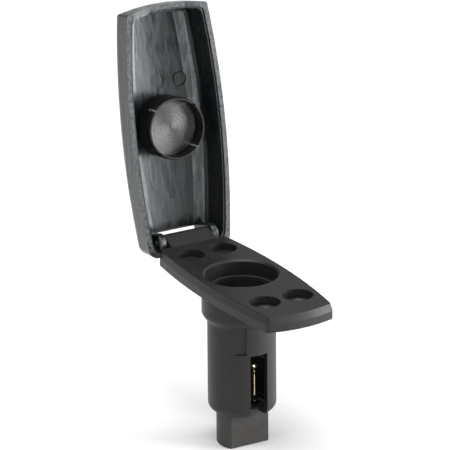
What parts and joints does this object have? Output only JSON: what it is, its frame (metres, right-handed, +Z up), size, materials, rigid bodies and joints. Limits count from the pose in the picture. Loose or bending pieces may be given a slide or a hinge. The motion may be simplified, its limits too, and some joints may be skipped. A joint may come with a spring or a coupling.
{
  "type": "plug-in pole base",
  "caption": "Flush-deck plug-in base for a round pole, with screw plate, stepped socket, hinged cover carrying a stopper, and contact pins in the socket.",
  "frame": {"origin": "bore axis where it meets the deck plane, which is the underside of the screw plate", "axes": "+Z up out of the deck along the bore, +X along the plate away from the cover's hinge, +Y across the plate; the hinge axis runs along Y"},
  "size_m": [0.13, 0.0466, 0.1813],
  "materials": {
    "housing_plastic": "fine mould texture, nearly black grey",
    "cover_plastic": "smooth moulded, satin inside, nearly black grey",
    "cup_plastic": "smooth moulded, black",
    "cap_plastic": "mottled mould texture, dark grey",
    "carrier_plastic": "plain black",
    "seal_rubber": "soft black",
    "contact_brass": "turned, bright",
    "terminal_tin": "tinned, dull",
    "pin_steel": "stainless, brushed",
    "disc_metal": "turned face with fine concentric lines"
  },
  "bodies": {
    "base": {"base_housing": "housing_plastic", "bore_seal": "seal_rubber", "hinge_pin": "pin_steel", "wiring_cap": "cap_plastic", "contact_carrier": "carrier_plastic", "carrier_screws": "pin_steel", "contact_pin_left": "contact_brass", "contact_pin_right": "contact_brass", "contact_washer_left": "contact_brass", "contact_washer_right": "contact_brass", "contact_seal_left": "seal_rubber", "contact_seal_right": "seal_rubber", "wire_terminal_left": "terminal_tin", "wire_terminal_right": "terminal_tin", "terminal_nuts": "contact_brass", "wire_grommet": "seal_rubber"},
    "cover": {"lid_shell": "cover_plastic", "stopper_cup": "cup_plastic", "stopper_disc": "disc_metal", "stopper_screw": "pin_steel"}
  },
  "joints": [
    {"name": "lid_hinge", "type": "hinge", "parent": "base", "child": "cover", "pos_m": [-0.049, 0, 0.007], "axis": [0, 1, 0], "range_deg": [0, 99.8]}
  ]
}
